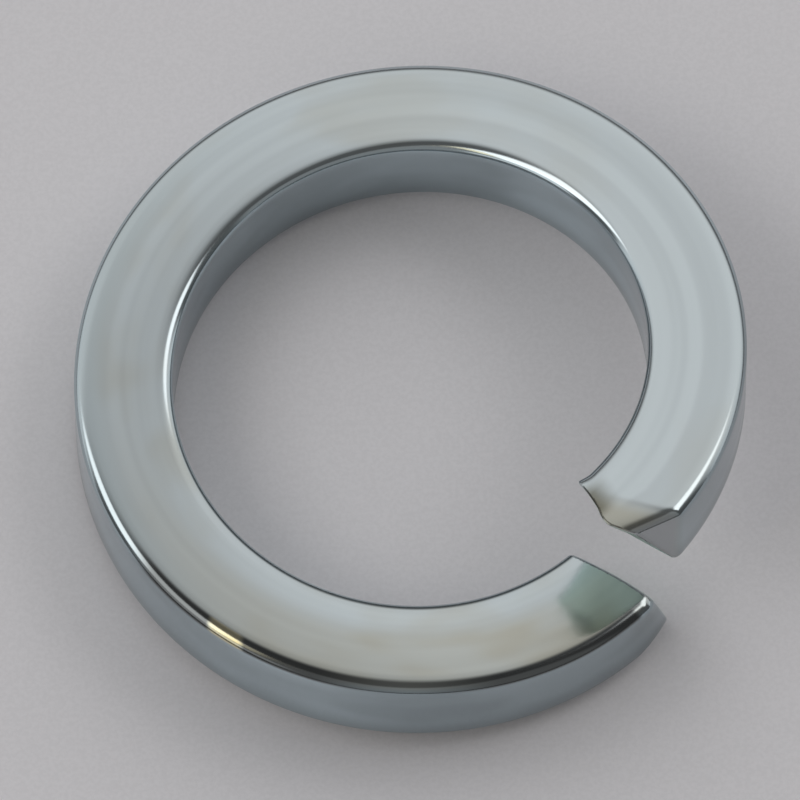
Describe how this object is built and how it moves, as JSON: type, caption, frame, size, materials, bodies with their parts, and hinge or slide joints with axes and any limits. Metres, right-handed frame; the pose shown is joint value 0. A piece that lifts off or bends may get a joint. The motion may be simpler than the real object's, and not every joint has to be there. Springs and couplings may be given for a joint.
{
  "type": "spring lock washer",
  "caption": "Split spring lock washer: one turn of left-handed coiled square wire with sheared ends, one end sprung up above the other.",
  "frame": {"origin": "on the bore's axis, level with the lowest point of the low end's underside", "axes": "+Z along the bore, from the seat side to the nut side; the slit lies between +X and -Y"},
  "size_m": [0.0232, 0.0232, 0.0086],
  "materials": {
    "zinc_plate": "bright zinc plating"
  },
  "bodies": {
    "root": {"lock_washer": "zinc_plate"}
  },
  "joints": []
}
